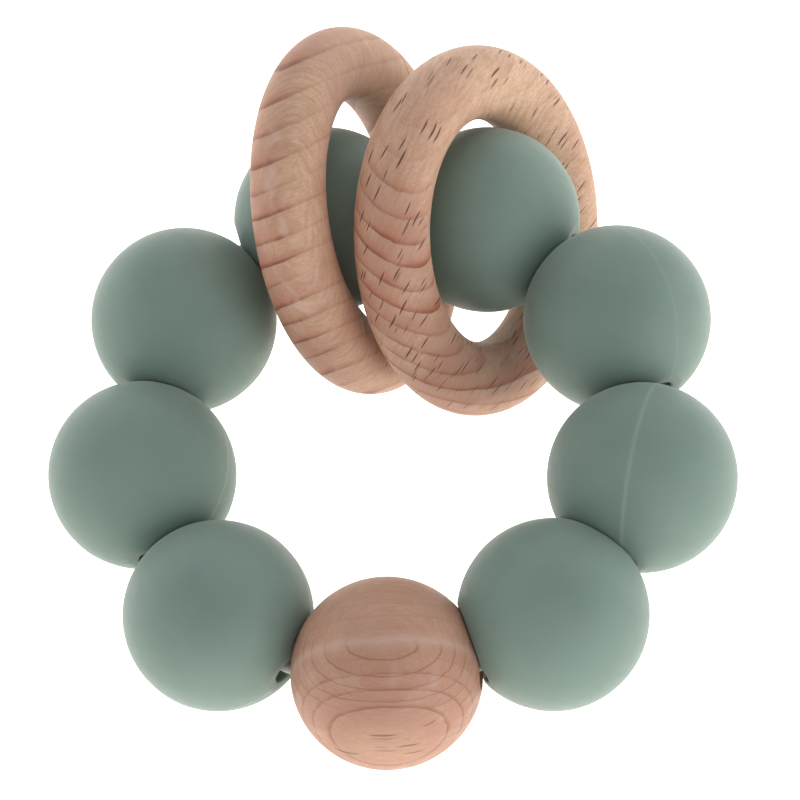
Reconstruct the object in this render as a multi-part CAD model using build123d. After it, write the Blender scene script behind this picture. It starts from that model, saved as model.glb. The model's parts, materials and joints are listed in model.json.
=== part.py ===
from build123d import *
import os
from math import cos, radians, sin

# Baby rattle: a closed loop of nine round beads threaded on a cord, eight of silicone and one of beech,
# with two loose beech rings round the strand. Millimetres.
# The rattle lies on a table, where it rests on the beech ball, the first bead and the left ring.
# +Z is up, +Y runs from the beech ball towards the rings, and +X is to the right.
# The origin is on the table, under the middle of the whole rattle.
#
# Each piece is first made in the loop's own frame: the loop lies flat in XY round the origin, and a place
# on it is an angle, anticlockwise from +X seen from above. The finished pieces are then laid on the table.

# ---- Beads -------------------------------------------------------------------------------------------
bead_diameter = 20.0
bead_end = 9.7          # from a silicone bead's middle to the small flat round each end of its hole
bead_hole = 2.5
bead_edge_round = 1.2   # where the end flat runs into the ball shape
bead_mouth_round = 0.3
ball_diameter = 20.0
ball_hole = 3.4         # wider, because it hides the cord's knot
ball_mouth_round = 0.3

# ---- Loop --------------------------------------------------------------------------------------------
loop_radius = 27.0      # from the loop's middle to the middle of each bead
ball_angle = -90.0      # where the beech ball is
# From each bead to the next, clockwise from the beech ball. The silicone yields where the beads meet, by
# a little more in some places than in others, so that the steps of a hand strung loop are uneven.
bead_steps = (41.5, 40.0, 40.0, 41.5, 38.0, 40.5, 40.5, 38.5, 39.5)
pressed_gap = 0.04      # between two silicone beads that are pressed flat on each other
ball_gap = 0.2          # between the beech ball and the hollow that it presses in each neighbour

# ---- Cord --------------------------------------------------------------------------------------------
cord_diameter = 1.0
cord_bend = 9.0         # radius of the bend from one bead's hole into the next
knot_half_length = 1.9
knot_wraps = 3
knot_wrap_pitch = 0.92
knot_wrap_radius = 0.95  # from the cord's middle to the middle of a wrap

# ---- Wooden rings ------------------------------------------------------------------------------------
ring_outside = 40.0
ring_bar = 8.0          # diameter of the ring's round bar
# Each ring's place: angle round the loop, distance from the loop's axis, height over the loop's plane,
# lean of its top along the strand, and yaw of its axis towards the outside of the loop.
ring_places = {
    "wooden_ring_left": (99.2, 26.8, 0.63, 20.2, -14.5),
    "wooden_ring_right": (69.7, 25.4, 0.14, 25.4, 4.1),
}

# ---- Lie on the table --------------------------------------------------------------------------------
loop_tilt = 9.06        # the rings hold the far side of the loop up
loop_roll = -3.46       # and the leaning rings let it roll to its left


def on_loop(angle, radius):
    return Vector(radius * cos(radians(angle)), radius * sin(radians(angle)), 0)


def turned_bead(diameter, end, hole, edge_round, mouth_round):
    """A round bead turned about X, its hole along X, with an optional small flat at each end."""
    profile = Circle(diameter / 2) & Rectangle(2 * end, diameter)
    profile &= Pos(0, (hole + diameter) / 2) * Rectangle(2 * diameter, diameter)
    if edge_round:
        profile = fillet(profile.vertices().group_by(Axis.Y)[1], edge_round)
    profile = fillet(profile.vertices().group_by(Axis.Y)[0], mouth_round)
    return revolve(profile, Axis.X)


def ring_location(angle, radius, height, lean, yaw):
    """Where a ring's middle is, with the ring's axis along the location's Y."""
    place = Rotation(0, 0, angle) * Pos(radius, 0, height)
    return place * Rotation(0, 0, yaw) * Rotation(-lean, 0, 0)


# ---- Bead angles, and the radial planes half way between neighbours ----------------------------------
bead_angles = [ball_angle]
for step in bead_steps[:-1]:
    bead_angles.append(bead_angles[-1] - step)
between = [angle - step / 2 for angle, step in zip(bead_angles, bead_steps)]

# ---- Beech ball --------------------------------------------------------------------------------------
ball_place = Pos(*on_loop(ball_angle, loop_radius)) * Rotation(0, 0, ball_angle + 90)
wooden_ball = ball_place * turned_bead(ball_diameter, ball_diameter, ball_hole, 0, ball_mouth_round)
ball_hollow = ball_place * Sphere(ball_diameter / 2 + ball_gap)


# ---- Silicone beads ----------------------------------------------------------------------------------
def pressed_flat(bead, own_angle, plane_angle):
    """The bead cut off at the radial plane half way to a neighbour, where the two press together."""
    side = 1 if own_angle > plane_angle else -1
    normal = Vector(-sin(radians(plane_angle)), cos(radians(plane_angle)), 0) * side
    plane = Plane(origin=normal * (pressed_gap / 2), z_dir=normal)
    return split(bead, bisect_by=plane, keep=Keep.TOP)


blank = turned_bead(bead_diameter, bead_end, bead_hole, bead_edge_round, bead_mouth_round)
silicone_beads = {}
last = len(bead_angles) - 1
for number in range(1, last + 1):
    angle = bead_angles[number]
    bead = Pos(*on_loop(angle, loop_radius)) * Rotation(0, 0, angle + 90) * blank
    if number > 1:
        bead = pressed_flat(bead, angle, between[number - 1])
    if number < last:
        bead = pressed_flat(bead, angle, between[number])
    if number in (1, last):
        bead -= ball_hollow
    silicone_beads[f"silicone_bead_{number}"] = bead

# ---- Cord, whole, from one end of its knot round the loop to the other -------------------------------
# Its corners are where the axes of two neighbours' holes meet, half way between the beads.
ball_centre = on_loop(ball_angle, loop_radius)
cord_points = [ball_centre - Vector(knot_half_length, 0, 0)]
for angle, step in zip(between, bead_steps):
    cord_points.append(on_loop(angle, loop_radius / cos(radians(step / 2))))
cord_points.append(ball_centre + Vector(knot_half_length, 0, 0))
cord_path = FilletPolyline(*cord_points, radius=cord_bend)
cord = sweep(Plane(cord_path @ 0, z_dir=cord_path % 0) * Circle(cord_diameter / 2), path=cord_path)

# ---- Knot, drawn up inside the beech ball ------------------------------------------------------------
knot = Rotation(0, 90, 0) * Cylinder(cord_diameter / 2, 2 * knot_half_length)
for wrap in range(knot_wraps):
    offset = (wrap - (knot_wraps - 1) / 2) * knot_wrap_pitch
    knot += Pos(offset, 0, 0) * Rotation(0, 90, 0) * Torus(knot_wrap_radius, cord_diameter / 2)
cord_knot = ball_place * knot

# ---- Wooden rings ------------------------------------------------------------------------------------
ring_blank = Rotation(90, 0, 0) * Torus((ring_outside - ring_bar) / 2, ring_bar / 2)
rings = {name: ring_location(*place) * ring_blank for name, place in ring_places.items()}

# ---- Lay the rattle on the table and write one file for each piece -----------------------------------
nodes = {"wooden_ball": wooden_ball, **silicone_beads, "cord": cord, "cord_knot": cord_knot, **rings}
laid = {name: Rotation(loop_tilt, loop_roll, 0) * shape for name, shape in nodes.items()}
box = Compound(children=[Compound(shape.solids()) for shape in laid.values()]).bounding_box()
to_origin = Pos(-box.center().X, -box.center().Y, -box.min.Z)

os.makedirs("parts", exist_ok=True)
for name, shape in laid.items():
    placed = to_origin * shape
    placed.label = name
    export_step(placed, f"parts/{name}.step")

loop_middle = to_origin * Pos(0, 0, 0)
print("loop middle", loop_middle.position)
print("rattle size", box.size)
print("cord length", round(cord_path.length, 1), "volume", round(cord.volume, 2), "against",
      round(cord_path.length * Circle(cord_diameter / 2).area, 2), "bend radius", cord_bend)
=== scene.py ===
import json
import math

import bpy
import numpy as np
from mathutils import Matrix, Vector


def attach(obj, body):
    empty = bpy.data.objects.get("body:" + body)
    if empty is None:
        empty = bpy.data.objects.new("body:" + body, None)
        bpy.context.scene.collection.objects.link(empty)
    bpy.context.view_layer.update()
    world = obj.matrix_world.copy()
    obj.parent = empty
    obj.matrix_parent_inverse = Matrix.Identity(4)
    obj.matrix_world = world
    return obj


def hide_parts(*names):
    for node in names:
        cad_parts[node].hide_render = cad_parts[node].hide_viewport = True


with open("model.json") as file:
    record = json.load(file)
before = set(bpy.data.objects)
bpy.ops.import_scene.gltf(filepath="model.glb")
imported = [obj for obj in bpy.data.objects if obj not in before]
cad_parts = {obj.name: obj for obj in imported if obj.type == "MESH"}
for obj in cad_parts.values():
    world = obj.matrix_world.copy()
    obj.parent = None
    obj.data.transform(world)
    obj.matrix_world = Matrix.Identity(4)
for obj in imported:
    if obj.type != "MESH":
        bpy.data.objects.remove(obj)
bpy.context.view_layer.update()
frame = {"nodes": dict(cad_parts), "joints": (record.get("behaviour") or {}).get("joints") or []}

# Baby rattle: eight silicone beads and a beech ball on a cord, with two loose beech rings round the strand.
# The beads, the ball and the rings get finer skins here, and the cord and its knot keep their CAD shape.
MM = 0.001

# ---- The rattle's own sizes, in millimetres, as the CAD has them -------------------------------------
BEAD_RADIUS = 10.0
BEAD_END = 9.7          # from a silicone bead's middle to the small flat round each end of its hole
BEAD_HOLE = 1.25        # radius
BEAD_EDGE_ROUND = 1.2
BEAD_MOUTH_ROUND = 0.3
BALL_HOLE = 1.7         # radius
BALL_MOUTH_ROUND = 0.3
BALL_GAP = 0.2          # between the ball and the hollow that it presses in each neighbour
PRESSED_GAP = 0.04      # between two silicone beads that are pressed flat on each other
LOOP_RADIUS = 27.0
BALL_ANGLE = -90.0
BEAD_STEPS = (41.5, 40.0, 40.0, 41.5, 38.0, 40.5, 40.5, 38.5, 39.5)
RING_MIDDLE = 16.0      # from a ring's middle to the middle of its bar
RING_BAR = 4.0          # radius of the bar
# Each ring's place: angle round the loop, distance from the loop's axis, height over the loop's plane,
# lean of its top along the strand, and yaw of its axis towards the outside of the loop.
RING_PLACES = {
    "wooden_ring_left": (99.2, 26.8, 0.63, 20.2, -14.5),
    "wooden_ring_right": (69.7, 25.4, 0.14, 25.4, 4.1),
}

# ---- The loop's own frame, from the joints: X along the ball's hole, Z along the loop's axis ---------
joints = {joint["name"]: joint for joint in frame["joints"]}
LOOP_MIDDLE = np.array(joints["left_ring_travel"]["pos_m"])
LOOP_Z = np.array(joints["left_ring_travel"]["axis"])
LOOP_X = np.array(joints["ball_spin"]["axis"])
LOOP_Y = np.cross(LOOP_Z, LOOP_X)
LOOP_AXES = np.array([LOOP_X, LOOP_Y, LOOP_Z])

bead_angles = [BALL_ANGLE]
for step in BEAD_STEPS[:-1]:
    bead_angles.append(bead_angles[-1] - step)
between = [angle - step / 2 for angle, step in zip(bead_angles, BEAD_STEPS)]
LAST_BEAD = len(bead_angles) - 1


def from_loop(points):
    """Points of the loop's frame, in millimetres, as points of the row frame, in metres."""
    return LOOP_MIDDLE + np.asarray(points) @ LOOP_AXES * MM


def on_loop(angle, radius):
    turn = math.radians(angle)
    return np.array([radius * math.cos(turn), radius * math.sin(turn), 0.0])


def turned(angle):
    """The frame of a place on the loop, as rows: along the strand, inwards, and up the loop's axis."""
    turn = math.radians(angle)
    along = np.array([-math.sin(turn), math.cos(turn), 0.0])
    outwards = np.array([math.cos(turn), math.sin(turn), 0.0])
    return np.array([along, -outwards, np.array([0.0, 0.0, 1.0])])


def unit(vector):
    return np.asarray(vector) / np.linalg.norm(vector)


def smooth(values, low, high):
    """Rises smoothly from 0 at the low value to 1 at the high one."""
    share = np.clip((values - low) / (high - low), 0, 1)
    return share * share * (3 - 2 * share)


# ---- Camera ------------------------------------------------------------------------------------------
CAMERA_AIM = Vector((0.00088, -0.00153, 0.01625))
CAMERA_AZIMUTH = 5.68
CAMERA_ELEVATION = 56.30
CAMERA_ROLL = -4.72
CAMERA_DISTANCE = 0.4582
CAMERA_LENS = 194.6
CAMERA_NEAR = 0.01


def add_camera():
    azimuth, elevation = math.radians(CAMERA_AZIMUTH), math.radians(CAMERA_ELEVATION)
    flat = math.cos(elevation)
    back = Vector((flat * math.sin(azimuth), -flat * math.cos(azimuth), math.sin(elevation)))
    camera = bpy.data.objects.new("camera", bpy.data.cameras.new("camera"))
    bpy.context.scene.collection.objects.link(camera)
    camera.data.lens = CAMERA_LENS
    camera.data.clip_start = CAMERA_NEAR
    turn = back.to_track_quat("Z", "Y").to_matrix() @ Matrix.Rotation(math.radians(CAMERA_ROLL), 3, "Z")
    camera.matrix_world = Matrix.Translation(CAMERA_AIM + back * CAMERA_DISTANCE) @ turn.to_4x4()
    bpy.context.scene.camera = camera


# ---- Shader helpers ----------------------------------------------------------------------------------
def grey(shade):
    return (shade, shade, shade, 1.0)


def srgb(red, green, blue):
    """A colour given in display steps from 0 to 255, as the linear colour that a shader takes."""
    linear = [((v / 255 + 0.055) / 1.055) ** 2.4 if v > 10 else v / 255 / 12.92 for v in (red, green, blue)]
    return (*linear, 1.0)


class Shader:
    """A material's node tree, with one short call for each kind of node."""

    def __init__(self, name):
        self.material = bpy.data.materials.new(name)
        self.material.use_nodes = True
        self.tree = self.material.node_tree
        self.surface = self.tree.nodes["Principled BSDF"]

    def node(self, kind, settings=None, **inputs):
        made = self.tree.nodes.new(kind)
        for key, value in (settings or {}).items():
            setattr(made, key, value)
        for key, value in inputs.items():
            self.feed(made, key.replace("_", " ").title(), value)
        return made

    def feed(self, node, name, value):
        """Links a socket to one of the node's inputs, or sets that input to a value."""
        if isinstance(value, bpy.types.NodeSocket):
            self.tree.links.new(value, node.inputs[name])
        else:
            node.inputs[name].default_value = value

    def dress(self, looks):
        """Sets the inputs of the surface's own shader, by name, and returns the material."""
        for name, value in looks.items():
            self.feed(self.surface, name, value)
        return self.material

    def attribute(self, name):
        """A value that the mesh holds at each point."""
        return self.node("ShaderNodeAttribute", {"attribute_name": name}).outputs["Fac"]

    def place(self, name):
        """A vector that the mesh holds at each point."""
        return self.node("ShaderNodeAttribute", {"attribute_name": name}).outputs["Vector"]

    def math(self, operation, first, second=0.0):
        made = self.node("ShaderNodeMath", {"operation": operation})
        self.feed(made, 0, first)
        self.feed(made, 1, second)
        return made.outputs[0]

    def add(self, first, second):
        return self.math("ADD", first, second)

    def times(self, first, second):
        return self.math("MULTIPLY", first, second)

    def vector(self, operation, first, second):
        made = self.node("ShaderNodeVectorMath", {"operation": operation})
        self.feed(made, 0, first)
        self.feed(made, 1, second)
        return made.outputs[0]

    def scaled(self, vector, scale):
        made = self.node("ShaderNodeVectorMath", {"operation": "SCALE"}, scale=scale)
        self.feed(made, 0, vector)
        return made.outputs[0]

    def length(self, vector):
        made = self.node("ShaderNodeVectorMath", {"operation": "LENGTH"})
        self.feed(made, 0, vector)
        return made.outputs["Value"]

    def noise(self, vector, scale=1.0, detail=2.0, roughness=0.5, output="Fac"):
        made = self.node("ShaderNodeTexNoise", vector=vector, scale=scale, detail=detail, roughness=roughness)
        return made.outputs[output]

    def stretched(self, vector, stretch, detail=2.0, roughness=0.5):
        """Noise that changes at a rate of its own along each axis."""
        return self.noise(self.vector("MULTIPLY", vector, stretch), 1.0, detail, roughness)

    def spread(self, value, low, high, to_low=0.0, to_high=1.0, kind="SMOOTHSTEP"):
        """Takes a range of the value to another range, with soft ends unless the kind says LINEAR."""
        made = self.node("ShaderNodeMapRange", {"interpolation_type": kind})
        for index, number in enumerate((value, low, high, to_low, to_high)):
            self.feed(made, index, number)
        return made.outputs[0]

    def sway(self, noise, reach):
        """Noise from 0 to 1 as a shift to both sides, by at most the reach."""
        return self.spread(noise, 0.0, 1.0, -reach, reach, "LINEAR")

    def mix(self, share, first, second):
        made = self.node("ShaderNodeMix", {"data_type": "RGBA"})
        self.feed(made, 0, share)
        self.feed(made, 6, first)
        self.feed(made, 7, second)
        return made.outputs[2]

    def ramp(self, value, stops):
        made = self.node("ShaderNodeValToRGB")
        made.color_ramp.elements.remove(made.color_ramp.elements[1])
        made.color_ramp.elements[0].position = stops[0][0]
        made.color_ramp.elements[0].color = grey(stops[0][1])
        for place, shade in stops[1:]:
            made.color_ramp.elements.new(place).color = grey(shade)
        self.feed(made, 0, value)
        return made.outputs[0]

    def bump(self, height, distance, strength):
        return self.node("ShaderNodeBump", strength=strength, distance=distance, height=height).outputs[0]


# ---- Silicone ----------------------------------------------------------------------------------------
SAGE = srgb(116, 136, 127)
SAGE_CLOUD = srgb(122, 142, 133)
# Painted highlight: the pale sage painted along the mould's parting line, for the light that its ridge
# catches.
SAGE_PARTING_HIGHLIGHT = srgb(160, 178, 168)
PARTING_HIGHLIGHT_SHARE = 0.28


def silicone_material():
    """Matte sage green food grade silicone: soft, faintly cloudy, with a fine satin grain from the mould.
    The attribute "place" is each point's place in its bead, in millimetres, and "parting" is how much it
    lies on the mould's parting line, whose ridge is painted paler: a painted highlight for the light it
    catches."""
    s = Shader("sage_silicone")
    place = s.place("place")
    cloud = s.spread(s.noise(place, 0.12, 3.0), 0.3, 0.7)
    green = s.mix(cloud, SAGE, SAGE_CLOUD)
    return s.dress({
        # The parting line gets a painted highlight of paler sage.
        "Base Color": s.mix(s.times(s.attribute("parting"), PARTING_HIGHLIGHT_SHARE), green, SAGE_PARTING_HIGHLIGHT),
        "Roughness": s.spread(s.noise(place, 0.8), 0.2, 0.8, 0.50, 0.60),
        "IOR": 1.42,
        "Subsurface Weight": 0.2,
        "Subsurface Radius": (0.8, 1.0, 0.9),
        "Subsurface Scale": 0.0015,
        "Sheen Weight": 0.25,
        "Sheen Roughness": 0.35,
        "Normal": s.bump(s.noise(place, 14.0), 0.000004, 0.5),
    })


# ---- Beech -------------------------------------------------------------------------------------------
BEECH_PINK = srgb(188, 145, 128)
BEECH_TAN = srgb(226, 189, 160)
BEECH_FIBRE = srgb(166, 118, 94)
BEECH_STREAK = srgb(176, 130, 98)
BEECH_RED = srgb(172, 106, 80)
BEECH_LINE = srgb(134, 80, 58)
# Painted sheen: the pale shimmer of the rays, painted into the wood's colour.
BEECH_PAINTED_SHEEN = srgb(212, 184, 172)
BEECH_FLECK = srgb(96, 54, 38)

# How much of some colours goes over the ones before them.
FIBRE_SHARE = 0.38
STREAK_SHARE = 0.5
THIN_SHARE = 0.62
# The ball's pale band is a painted reflection.
PAINTED_PALE_SHARE = 0.36

# How fast each part of the wood's figure changes, per millimetre: along the grain, and both ways across it.
SLOW_WAVE = (0.03, 0.22, 0.1)
FINE_WAVE = (0.3, 1.1, 1.1)
UNEVEN = (0.3, 0.45, 0.3)
FIBRES = (0.7, 6.0, 6.0)
WARM_PARTS = (0.07, 0.16, 0.16)
# The same for what follows the rays: along the grain, away from the pith, and round the pith.
STREAKS = (0.4, 0.4, 3.6)
# The patches of the rays' painted sheen change at this rate.
PAINTED_SHEEN_PATCHES = (0.4, 0.25, 0.4)

# How far fine waves move the layers, in millimetres, and the second set of layers, in layers.
FINE_SHIFT = 0.14
SECOND_SHIFT = 0.15

# Stops through one growth layer, from its outer side to its pith side: its shade, its thin line, and the
# thin line of a layer of the second set.
LAYER_SHADE = ((0.0, 0.0), (0.2, 0.06), (0.6, 0.45), (0.85, 0.95), (0.96, 0.9), (1.0, 0.0))
LAYER_LINE = ((0.0, 0.1), (0.78, 0.0), (0.89, 0.7), (0.94, 1.0), (0.985, 0.8), (1.0, 0.1))
CROSSED_LINE = ((0.0, 0.2), (0.84, 0.0), (0.92, 0.8), (0.97, 1.0), (1.0, 0.2))

# Flecks, as shares of a ray's cell: how far a cell may shift round the pith, how much narrower a fleck is
# that way, and the range of its half length.
RAY_SHIFT = 0.8
RAY_NARROW = 2.1
RAY_LENGTHS = (0.24, 0.48)


def growth_layers(s, grain, from_pith, layer, wave):
    """Tubes round the pith, a little wavy. Each is darkest at a thin line on its pith side, fades from
    there outwards, and shows more in some years and places than in others."""
    depth = s.add(from_pith, s.sway(s.stretched(grain, SLOW_WAVE, 1.5), wave / 2))
    depth = s.add(depth, s.sway(s.stretched(grain, FINE_WAVE), FINE_SHIFT))
    layers = s.math("DIVIDE", depth, -layer)
    within = s.math("FRACT", layers)
    year = s.node("ShaderNodeTexWhiteNoise", {"noise_dimensions": "1D"}, w=s.math("FLOOR", layers))
    uneven = s.spread(s.stretched(grain, UNEVEN), 0.3, 0.62, 0.4, 1.0)
    uneven = s.times(uneven, s.spread(year.outputs["Value"], 0.0, 0.6, 0.5, 1.0))
    shown = s.times(s.attribute("lines"), uneven)
    return s.times(s.ramp(within, LAYER_SHADE), shown), s.times(s.ramp(within, LAYER_LINE), shown)


def crossed_lines(s, grain):
    """Thin lines of a second set of layers, which shows through the first where the trunk bends."""
    shift = s.sway(s.stretched(grain, FINE_WAVE), SECOND_SHIFT)
    within = s.math("FRACT", s.add(s.attribute("second_layers"), shift))
    return s.times(s.ramp(within, CROSSED_LINE), s.attribute("second_lines"))


def ray_flecks(s, grain, plates, facing, ray_cell, ray_share):
    """Thin plates that stand out from the pith, one in each cell of the wood that the share picks. They
    show as dark flecks, except where the surface looks along the layers."""
    bend = s.vector("SUBTRACT", s.noise(s.scaled(grain, 0.3), 1.0, 1.0, output="Color"), (0.5, 0.5, 0.5))
    places = s.vector("MULTIPLY", plates, tuple(1 / side for side in ray_cell))
    places = s.vector("ADD", places, s.vector("MULTIPLY", bend, (0.0, 0.0, RAY_SHIFT)))
    cells = s.node("ShaderNodeTexVoronoi", vector=places, scale=1.0, randomness=1.0)
    chance = s.node("ShaderNodeSeparateColor", color=cells.outputs["Color"])
    away = s.vector("SUBTRACT", places, cells.outputs["Position"])
    away = s.length(s.vector("MULTIPLY", away, (1.0, 1.0, RAY_NARROW)))
    half_length = s.spread(chance.outputs["Red"], 0.0, 1.0, *RAY_LENGTHS, "LINEAR")
    fleck = s.spread(s.math("DIVIDE", away, half_length), 0.55, 1.0, 1.0, 0.0)
    picked = s.spread(chance.outputs["Green"], 1.0 - ray_share, 1.15 - ray_share)
    return s.times(fleck, s.times(picked, s.spread(facing, 0.7, 0.95, 1.0, 0.0)))


def painted_ray_sheen(s, plates, facing):
    """Painted sheen: the rays' pale shimmer, painted into the colour in patches where the surface looks along
    the layers.
    """
    patches = s.spread(s.stretched(plates, PAINTED_SHEEN_PATCHES), 0.48, 0.68)
    sheen = s.times(patches, s.spread(facing, 0.6, 0.95))
    return s.times(sheen, s.spread(s.attribute("lines"), 0.2, 0.7))


def beech_material(name, layer, wave, ray_cell, ray_share, ray_depth, line_share, shade_share, painted_sheen_share,
                   pinkness, crossed=False):
    """Sanded, untreated beech. The attribute "grain" holds each point's place in the wood, in millimetres:
    X along the grain, and Y and Z across it, from the pith of the tree. "pith" is how far the piece's
    middle is from the pith, "lines" how strongly the layers show, and "facing" how squarely the surface
    looks along the layers, which turns the flecks of the rays to their painted sheen, pale in the colour."""
    s = Shader(name)
    grain = s.place("grain")
    facing = s.attribute("facing")
    x, y, z = s.node("ShaderNodeSeparateXYZ", vector=grain).outputs
    from_pith = s.math("SQRT", s.add(s.times(y, y), s.times(z, z)))
    round_pith = s.times(s.math("ARCTAN2", z, y), s.attribute("pith"))
    plates = s.node("ShaderNodeCombineXYZ", x=x, y=from_pith, z=round_pith).outputs[0]

    shade, thin = growth_layers(s, grain, from_pith, layer, wave)
    if crossed:
        thin = s.math("MAXIMUM", thin, crossed_lines(s, grain))
    fibre = s.spread(s.stretched(grain, FIBRES, 3.0, 0.65), 0.3, 0.7)
    streak = s.spread(s.stretched(plates, STREAKS, 3.0, 0.65), 0.35, 0.7)
    # The rays' painted sheen, which the colour takes below.
    sheen = painted_ray_sheen(s, plates, facing)
    fleck = ray_flecks(s, grain, plates, facing, ray_cell, ray_share)

    warm = s.spread(s.stretched(grain, WARM_PARTS), 0.35, 0.65)
    pink = s.spread(s.add(s.attribute("lines"), warm), 0.0, 2.0, *pinkness, "LINEAR")
    colour = s.mix(pink, BEECH_TAN, BEECH_PINK)
    colour = s.mix(s.times(fibre, FIBRE_SHARE), colour, BEECH_FIBRE)
    colour = s.mix(s.times(streak, STREAK_SHARE), colour, BEECH_STREAK)
    colour = s.mix(s.times(shade, shade_share), colour, BEECH_RED)
    colour = s.mix(s.times(thin, line_share * THIN_SHARE), colour, BEECH_LINE)
    # The rays' painted sheen: a pale highlight painted into the colour.
    colour = s.mix(s.times(sheen, painted_sheen_share), colour, BEECH_PAINTED_SHEEN)
    # On the ball, a pale band round the pith: a painted reflection.
    if crossed:
        colour = s.mix(s.times(s.attribute("painted_pale_band"), PAINTED_PALE_SHARE), colour, BEECH_PAINTED_SHEEN)
    colour = s.mix(s.times(fleck, ray_depth), colour, BEECH_FLECK)

    sunk = s.add(s.times(fleck, -1.0), s.times(fibre, -0.3))
    return s.dress({
        "Base Color": colour,
        "Roughness": s.spread(s.math("SUBTRACT", fibre, sheen), -1.0, 1.0, 0.42, 0.58),
        "IOR": 1.45,
        "Subsurface Weight": 0.05,
        "Subsurface Radius": (1.0, 0.6, 0.4),
        "Subsurface Scale": 0.0008,
        "Normal": s.bump(sunk, 0.00003, 0.6),
    })


def ball_beech():
    """Even and pinkish, with close fine lines and few flecks."""
    return beech_material(
        "beech_of_ball", layer=1.55, wave=0.6, ray_cell=(4.0, 4.5, 1.7), ray_share=0.6, ray_depth=0.6,
        line_share=0.95, shade_share=0.35, painted_sheen_share=0.17, pinkness=(0.75, 1.1), crossed=True)


def left_ring_beech():
    """Broad reddish layers with hardly a fleck."""
    return beech_material(
        "beech_of_left_ring", layer=2.4, wave=1.6, ray_cell=(4.0, 6.0, 0.9), ray_share=0.12, ray_depth=0.7,
        line_share=2.0, shade_share=1.05, painted_sheen_share=0.5, pinkness=(0.15, 1.1))


def right_ring_beech():
    """Tan, with many short dark flecks."""
    return beech_material(
        "beech_of_right_ring", layer=1.9, wave=1.2, ray_cell=(4.0, 2.6, 0.54), ray_share=0.8, ray_depth=0.95,
        line_share=1.5, shade_share=1.1, painted_sheen_share=0.4, pinkness=(0.0, 1.0))


# ---- Cord --------------------------------------------------------------------------------------------
CORD_SHADOW = srgb(196, 199, 186)
CORD_LIGHT = srgb(226, 228, 218)
CORD_FIBRES = 6.0       # changes per millimetre


def cord_material():
    """Round braided cord, pale grey."""
    s = Shader("pale_cord")
    place = s.scaled(s.node("ShaderNodeTexCoord").outputs["Object"], 1 / MM)
    fibre = s.stretched(place, (CORD_FIBRES, CORD_FIBRES, CORD_FIBRES), 3.0)
    return s.dress({
        "Base Color": s.mix(s.spread(fibre, 0.3, 0.7), CORD_SHADOW, CORD_LIGHT),
        "Roughness": 0.75,
        "Sheen Weight": 0.25,
        "Normal": s.bump(fibre, 0.00002, 0.5),
    })


# ---- Meshes ------------------------------------------------------------------------------------------
def closed_grid(name, points, material, body, slot, node, **attributes):
    """A closed skin over a grid of points, in metres, which joins up both ways round."""
    rows, columns = points.shape[:2]
    index = np.arange(rows * columns).reshape(rows, columns)
    next_row = np.roll(index, -1, axis=0)
    next_column = np.roll(index, -1, axis=1)
    both = np.roll(next_row, -1, axis=1)
    quads = np.stack([index, next_row, both, next_column], axis=-1).reshape(-1, 4)
    flat = points.reshape(-1, 3)
    first, second, third = flat[quads[:, 0]], flat[quads[:, 1]], flat[quads[:, 2]]
    if np.einsum("ij,ij->i", first, np.cross(second, third)).sum() < 0:
        quads = quads[:, ::-1]
    mesh = bpy.data.meshes.new(name)
    mesh.from_pydata(flat.tolist(), [], quads.tolist())
    mesh.polygons.foreach_set("use_smooth", [True] * len(quads))
    for key, values in attributes.items():
        kind, field = ("FLOAT", "value") if values.ndim == 2 else ("FLOAT_VECTOR", "vector")
        layer = mesh.attributes.new(key, kind, "POINT")
        layer.data.foreach_set(field, values.astype(np.float32).ravel())
    mesh.materials.append(material)
    piece = bpy.data.objects.new(name, mesh)
    bpy.context.scene.collection.objects.link(piece)
    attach(piece, body)
    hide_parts(node)


# ---- Bead shapes -------------------------------------------------------------------------------------
# How many points an outline has: on half the hole's wall, round the mouth of a bead's and of the ball's
# hole, round the edge of a bead's end flat, and from there to the bead's widest place.
WALL_POINTS = 8
BEAD_MOUTH_POINTS = 7
BALL_MOUTH_POINTS = 10
EDGE_POINTS = 6
OVER_POINTS = 62

PRESS_SOFTNESS = 0.05   # how softly a pressed part runs into the bead's round, in millimetres


def arc(middle, radius, start, end, count):
    """Points along an arc, from one angle to another in degrees, both ends included."""
    turns = np.radians(np.linspace(start, end, count))
    return np.stack([middle[0] + radius * np.cos(turns), middle[1] + radius * np.sin(turns)], axis=1)


def whole_profile(hole, mouth_x, corner, leave):
    """Outline of a bead's wall in a half plane through its hole: X along the hole, Y away from its axis.
    It goes from the middle of the hole's wall, round the corner, over the bead and back in."""
    wall_x = np.linspace(0, mouth_x, WALL_POINTS + 1)[:-1]
    wall = np.stack([wall_x, np.full(WALL_POINTS, hole)], axis=1)
    over = arc((0, 0), BEAD_RADIUS, leave, 90, OVER_POINTS)[1:]
    half = np.concatenate([wall, *corner, over])
    back = half[::-1][1:-1] * np.array([-1, 1])
    return np.concatenate([half, back])


def ball_profile():
    """The beech ball's outline, where the hole's rounded mouth runs straight into the ball."""
    mouth_y = BALL_HOLE + BALL_MOUTH_ROUND
    mouth_x = math.sqrt((BEAD_RADIUS - BALL_MOUTH_ROUND) ** 2 - mouth_y ** 2)
    leave = math.degrees(math.atan2(mouth_y, mouth_x))
    corner = [arc((mouth_x, mouth_y), BALL_MOUTH_ROUND, -90, leave, BALL_MOUTH_POINTS)]
    return whole_profile(BALL_HOLE, mouth_x, corner, leave)


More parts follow.
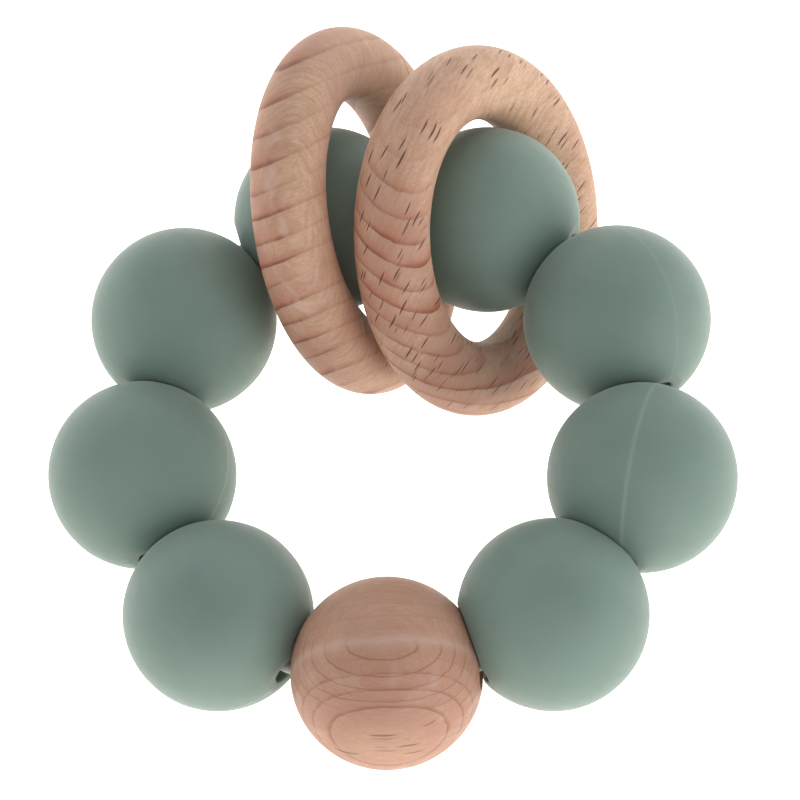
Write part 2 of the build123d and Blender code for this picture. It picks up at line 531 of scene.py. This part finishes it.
def bead_profile():
    """A silicone bead's outline, with a small flat between the hole's mouth and the bead's round."""
    mouth_x = BEAD_END - BEAD_MOUTH_ROUND
    mouth_y = BEAD_HOLE + BEAD_MOUTH_ROUND
    edge_x = BEAD_END - BEAD_EDGE_ROUND
    edge_y = math.sqrt((BEAD_RADIUS - BEAD_EDGE_ROUND) ** 2 - edge_x ** 2)
    leave = math.degrees(math.atan2(edge_y, edge_x))
    corner = [
        arc((mouth_x, mouth_y), BEAD_MOUTH_ROUND, -90, 0, BEAD_MOUTH_POINTS),
        arc((edge_x, edge_y), BEAD_EDGE_ROUND, 0, leave, EDGE_POINTS),
    ]
    return whole_profile(BEAD_HOLE, mouth_x, corner, leave)


def spin(profile, turns):
    """The bead's skin in its own frame: a row for each turn, in degrees, about the hole's axis."""
    turns = np.radians(turns)[:, None]
    x = np.broadcast_to(profile[:, 0], (len(turns), len(profile)))
    return np.stack([x, profile[:, 1] * np.cos(turns), profile[:, 1] * np.sin(turns)], axis=-1)


def press_flat(points, plane_angle, own_angle, along):
    """Moves what lies past the radial plane half way to a neighbour back along the hole, onto that plane."""
    side = 1 if own_angle > plane_angle else -1
    normal = np.array([-math.sin(math.radians(plane_angle)), math.cos(math.radians(plane_angle)), 0]) * side
    past = PRESSED_GAP / 2 - points @ normal
    move = PRESS_SOFTNESS * np.logaddexp(0, past / PRESS_SOFTNESS)
    return points + (move / (along @ normal))[..., None] * along


def press_hollow(points, ball_middle):
    """Moves what lies inside the beech ball out to a hollow just larger than the ball."""
    away = points - ball_middle
    reach = np.linalg.norm(away, axis=-1, keepdims=True)
    push = PRESS_SOFTNESS * np.logaddexp(0, (BEAD_RADIUS + BALL_GAP - reach) / PRESS_SOFTNESS)
    return points + away / reach * push


# ---- Silicone beads ----------------------------------------------------------------------------------
PARTING_RIDGE = 0.03    # how far the mould's parting line stands proud
PARTING_WIDTH = 0.22
PARTING_DEEPEST = 0.15  # the line ends this far in from the bead's round, so the hole has none
# How far each bead has turned on the cord, in degrees, which is where its parting line comes, and how
# strongly that line shows.
BEAD_TURNS = (15, 17, 161, 155, 159, 122, 89, 23)
LINE_SHOWS = (1.0, 0.8, 1.0, 1.0, 1.0, 0.35, 1.0, 1.0)
# Turns of a bead's skin about its hole, in degrees: close ones to both sides of each half of the parting
# line, and even ones between the two halves.
CLOSE_TURNS = (0.0, 0.25, 0.5, 0.8, 1.2, 1.8)
EVEN_FROM = 3
EVEN_TO = 179
EVEN_STEP = 2.2
CLOUD_SHIFT = 40.0      # from bead to bead, so that each has clouds of its own


def parting_turns():
    turns = []
    for half in (0, 180):
        turns.extend(half + side * step for step in CLOSE_TURNS for side in (-1, 1))
        turns.extend(np.arange(half + EVEN_FROM, half + EVEN_TO, EVEN_STEP))
    return np.unique(np.round(turns, 3) % 360)


def add_silicone_bead(number, material):
    name = f"silicone_bead_{number}"
    angle = bead_angles[number]
    axes = turned(angle)
    turns = parting_turns()
    skin = spin(bead_profile(), turns)
    out = np.linalg.norm(skin, axis=-1)
    arm = np.hypot(skin[..., 1], skin[..., 2])
    from_line = arm * np.abs(np.sin(np.radians(turns)))[:, None]
    line = np.exp(-(from_line / PARTING_WIDTH) ** 2) * (out > BEAD_RADIUS - PARTING_DEEPEST)
    line = line * LINE_SHOWS[number - 1]
    skin = skin * (1 + PARTING_RIDGE * line / out)[..., None]
    turn = math.radians(BEAD_TURNS[number - 1])
    about = np.array([[1, 0, 0], [0, math.cos(turn), math.sin(turn)], [0, -math.sin(turn), math.cos(turn)]])
    points = on_loop(angle, LOOP_RADIUS) + skin @ about @ axes
    along = axes[0]
    if number > 1:
        points = press_flat(points, between[number - 1], angle, along)
    if number < LAST_BEAD:
        points = press_flat(points, between[number], angle, along)
    if number in (1, LAST_BEAD):
        points = press_hollow(points, on_loop(BALL_ANGLE, LOOP_RADIUS))
    # "parting" both raises the ridge and paints its highlight paler in the silicone.
    looks = {"place": skin + np.array([0, 0, CLOUD_SHIFT * number]), "parting": line}
    closed_grid(name + "_skin", from_loop(points), material, "strand", "silicone", name, **looks)


# ---- How the wooden pieces were cut from the tree ----------------------------------------------------
# Directions of the row frame, along the grain and away from the pith, and how far the piece's middle is
# from the pith, in millimetres.
CUTS = {
    "wooden_ball": ((1.0, 0.06, -0.02), (-0.13, 0.97, -0.25), 17.4),
    "wooden_ring_left": ((0.92, 0.35, 0.17), (-0.39, 0.755, 0.53), 179.4),
    "wooden_ring_right": ((-0.30, -0.89, 0.35), (0.44, 0.20, 0.88), 45.0),
}
# How much the growth layers crowd together towards the pith.
CROWDING = {"wooden_ball": 0.0, "wooden_ring_left": 0.006, "wooden_ring_right": 0.003}
NO_LENGTH = 1e-6


def in_the_wood(name, points, normals, middle):
    """Each point's place in the tree, and how squarely its surface looks along the growth layers."""
    along, across, pith = CUTS[name]
    along = unit(along)
    across = unit(across - along * (across @ along))
    axes = np.array([along, across, np.cross(along, across)])
    place = (points - middle) @ axes.T / MM
    place[..., 1] -= CROWDING[name] * place[..., 1] ** 2
    place[..., 1] += pith
    from_pith = np.linalg.norm(place[..., 1:], axis=-1, keepdims=True)
    out = place[..., 1:] / np.maximum(from_pith, NO_LENGTH)
    look = normals @ axes.T
    facing = np.abs(look[..., 2] * out[..., 0] - look[..., 1] * out[..., 1])
    return {"grain": place, "facing": facing, "pith": np.full(facing.shape, abs(pith))}


# ---- Beech ball --------------------------------------------------------------------------------------
BALL_STEP = 2.0         # degrees of turn from one row of the ball's skin to the next
# The second set of layers that shows on the ball: towards its pith, how far the pith is from the ball's
# middle, how far from the pith one line is, and from line to line.
SECOND_PITH = (0.05, -0.20, 0.98)
SECOND_DISTANCE = 13.3
SECOND_LINE = 3.9
SECOND_LAYER = 1.25
# A pale band of painted reflection on the ball, round its pith: how far it is from the pith, and its width.
PAINTED_PALE_BAND = 16.0
PAINTED_PALE_WIDTH = 0.6
# Where the ball's figure changes, in millimetres from its middle towards its top: the first lines fade by
# this share, the second ones start and end, and the flecks end.
BALL_TOP = (0.0, 0.83, 0.55)
LINES_FADE = (-1.5, 4.0)
LINES_LOST = 0.8
SECOND_STARTS = (-4.0, -2.0)
SECOND_ENDS = (3.0, 4.5)
FLECKS_END = (-3.0, 0.0)
# Sideways from the ball's middle, where the flecks end, and how fully.
FLECKS_END_SIDEWAYS = (2.5, 6.5)
FLECKS_LOST = 0.9
# From the pith, where the first lines begin.
LINES_START = (7.8, 9.0)


def add_wooden_ball(material):
    name = "wooden_ball"
    middle = from_loop(on_loop(BALL_ANGLE, LOOP_RADIUS))
    skin = spin(ball_profile(), np.arange(0, 360, BALL_STEP))
    points = from_loop(on_loop(BALL_ANGLE, LOOP_RADIUS) + skin @ turned(BALL_ANGLE))
    normals = (points - middle) / np.linalg.norm(points - middle, axis=-1, keepdims=True)
    wood = in_the_wood(name, points, normals, middle)
    place = (points - middle) / MM
    height = place @ unit(BALL_TOP)
    sideways = np.abs(place[..., 0])
    from_pith = np.linalg.norm(wood["grain"][..., 1:], axis=-1)
    from_second = np.linalg.norm((place - SECOND_DISTANCE * unit(SECOND_PITH))[..., 1:], axis=-1)
    no_flecks = np.maximum(FLECKS_LOST * smooth(sideways, *FLECKS_END_SIDEWAYS), smooth(height, *FLECKS_END))
    # Where this raises facing, the flecks give way to the rays' painted sheen.
    wood["facing"] = np.maximum(wood["facing"], no_flecks)
    wood["lines"] = (1 - LINES_LOST * smooth(height, *LINES_FADE)) * smooth(from_pith, *LINES_START)
    wood["second_layers"] = (SECOND_LINE - from_second) / SECOND_LAYER
    wood["second_lines"] = smooth(height, *SECOND_STARTS) * (1 - smooth(height, *SECOND_ENDS))
    # A pale band at one distance from the pith: a painted reflection.
    wood["painted_pale_band"] = np.exp(-((from_pith - PAINTED_PALE_BAND) / PAINTED_PALE_WIDTH) ** 2)
    closed_grid(name + "_skin", points, material, "ball", "beech", name, **wood)


# ---- Beech rings -------------------------------------------------------------------------------------
RING_STEP = 1.2         # degrees round the ring from one row of its skin to the next
BAR_STEP = 3.75         # degrees round the ring's bar
# How strongly the left ring's lines show on its faint side, and between which places they grow strong:
# across the bar, from -1 on the faint side to 1 on the other.
LEFT_FAINT = 0.2
LEFT_GROWS = (-0.75, 0.2)
# The same for the right ring: towards its low left, in millimetres from its middle, and then round the
# bar, from -1 at the ring's hole to 1 at its outside.
LOW_LEFT = (-0.53, -0.72, -0.44)
RIGHT_FAINT = 0.12
RIGHT_GROWS = (-3, 9)
# Towards the hole the lines, their reddish shade and their pink fade, which paints the inner edge paler as a
# painted rim light.
PAINTED_RIM_FAINT = 0.35
PAINTED_RIM_GROWS = (-0.9, -0.2)


def left_ring_lines(side):
    """Strong on one side of the ring and faint on the other."""
    return LEFT_FAINT + (1 - LEFT_FAINT) * smooth(-side, *LEFT_GROWS)


def right_ring_lines(place, outer):
    """Strong low down on the ring's left and faint elsewhere. Fainter towards the hole, which paints the
    inner edge paler: a painted rim light.
    """
    low_left = RIGHT_FAINT + (1 - RIGHT_FAINT) * smooth(place @ unit(LOW_LEFT), *RIGHT_GROWS)
    return low_left * (PAINTED_RIM_FAINT + (1 - PAINTED_RIM_FAINT) * smooth(outer, *PAINTED_RIM_GROWS))


def add_wooden_ring(name, body, material):
    angle, radius, height, lean, yaw = RING_PLACES[name]
    lean, yaw = math.radians(lean), math.radians(yaw)
    strand, inwards, up = turned(angle)
    sideways = -math.cos(yaw) * inwards + math.sin(yaw) * strand
    level = -math.cos(yaw) * strand - math.sin(yaw) * inwards
    axis = math.cos(lean) * level + math.sin(lean) * up
    upright = np.cross(axis, sideways)
    round_ring = np.radians(np.arange(0, 360, RING_STEP))[:, None, None]
    round_bar = np.radians(np.arange(0, 360, BAR_STEP))[None, :, None]
    outwards = np.cos(round_ring) * sideways + np.sin(round_ring) * upright
    normals = np.cos(round_bar) * outwards + np.sin(round_bar) * axis
    points = RING_MIDDLE * outwards + RING_BAR * normals
    middle = on_loop(angle, radius) + np.array([0, 0, height])
    points, normals, middle = from_loop(middle + points), normals @ LOOP_AXES, from_loop(middle)
    wood = in_the_wood(name, points, normals, middle)
    outer = np.broadcast_to(np.cos(round_bar), points.shape)[..., 0]
    side = np.broadcast_to(np.sin(round_bar), points.shape)[..., 0]
    if name == "wooden_ring_left":
        wood["lines"] = left_ring_lines(side)
    else:
        wood["lines"] = right_ring_lines((points - middle) / MM, outer)
    closed_grid(name + "_skin", points, material, body, "beech", name, **wood)


# ---- Cord, as the CAD has it -------------------------------------------------------------------------
def dress_cord(material):
    for node in ("cord", "cord_knot"):
        frame["nodes"][node].data.materials.clear()
        frame["nodes"][node].data.materials.append(material)


# ---- Floor and light ---------------------------------------------------------------------------------
FLOOR_HALF = 4.0
TABLE_GLOW = 1.5
TENT_OPENING = Vector((0.05, -0.45, 0.89)).normalized()
TENT_FALL = (-0.1, 0.9)
TENT_BRIGHT = 1.35
TENT_DIM = 0.5
TENT_COLOUR = (0.97, 1.0, 1.0, 1)
SOFTBOX_PLACE = Vector((0.75, -0.65, 0.28))
SOFTBOX_AIM = Vector((0, 0, 0.01))
SOFTBOX_SIZE = 0.8
SOFTBOX_POWER = 3.3


def table_material():
    """A white table that is lit through from below."""
    return Shader("white_table").dress({
        "Base Color": (0.4, 0.4, 0.39, 1),
        "Roughness": 0.9,
        "Emission Color": (1.0, 0.965, 0.90, 1),
        "Emission Strength": TABLE_GLOW,
    })


def add_floor():
    mesh = bpy.data.meshes.new("floor")
    corners = [(x * FLOOR_HALF, y * FLOOR_HALF, 0) for x, y in ((-1, -1), (1, -1), (1, 1), (-1, 1))]
    mesh.from_pydata(corners, [], [(0, 1, 2, 3)])
    mesh.materials.append(table_material())
    floor = bpy.data.objects.new("floor", mesh)
    bpy.context.scene.collection.objects.link(floor)


def add_world():
    """A white tent all round the table, dim where its front opens above the rattle."""
    world = bpy.data.worlds.new("white_tent")
    bpy.context.scene.world = world
    world.use_nodes = True
    tree = world.node_tree
    background = tree.nodes["Background"]
    place = tree.nodes.new("ShaderNodeTexCoord")
    towards = tree.nodes.new("ShaderNodeVectorMath")
    towards.operation = "DOT_PRODUCT"
    towards.inputs[1].default_value = TENT_OPENING
    fall = tree.nodes.new("ShaderNodeMapRange")
    fall.interpolation_type = "SMOOTHSTEP"
    tree.links.new(place.outputs["Generated"], towards.inputs[0])
    tree.links.new(towards.outputs["Value"], fall.inputs[0])
    for index, value in enumerate((*TENT_FALL, TENT_BRIGHT, TENT_DIM), start=1):
        fall.inputs[index].default_value = value
    tree.links.new(fall.outputs[0], background.inputs["Strength"])
    background.inputs["Color"].default_value = TENT_COLOUR


def add_softbox():
    light = bpy.data.lights.new("softbox", "AREA")
    light.size = SOFTBOX_SIZE
    light.energy = SOFTBOX_POWER
    lamp = bpy.data.objects.new("softbox", light)
    bpy.context.scene.collection.objects.link(lamp)
    lamp.location = SOFTBOX_PLACE
    lamp.rotation_euler = (SOFTBOX_PLACE - SOFTBOX_AIM).to_track_quat("Z", "Y").to_euler()


add_camera()
add_world()
add_floor()
add_softbox()
bpy.context.scene.view_settings.view_transform = "Standard"

silicone = silicone_material()
for bead_number in range(1, LAST_BEAD + 1):
    add_silicone_bead(bead_number, silicone)
add_wooden_ball(ball_beech())
add_wooden_ring("wooden_ring_left", "ring_left", left_ring_beech())
add_wooden_ring("wooden_ring_right", "ring_right", right_ring_beech())
dress_cord(cord_material())
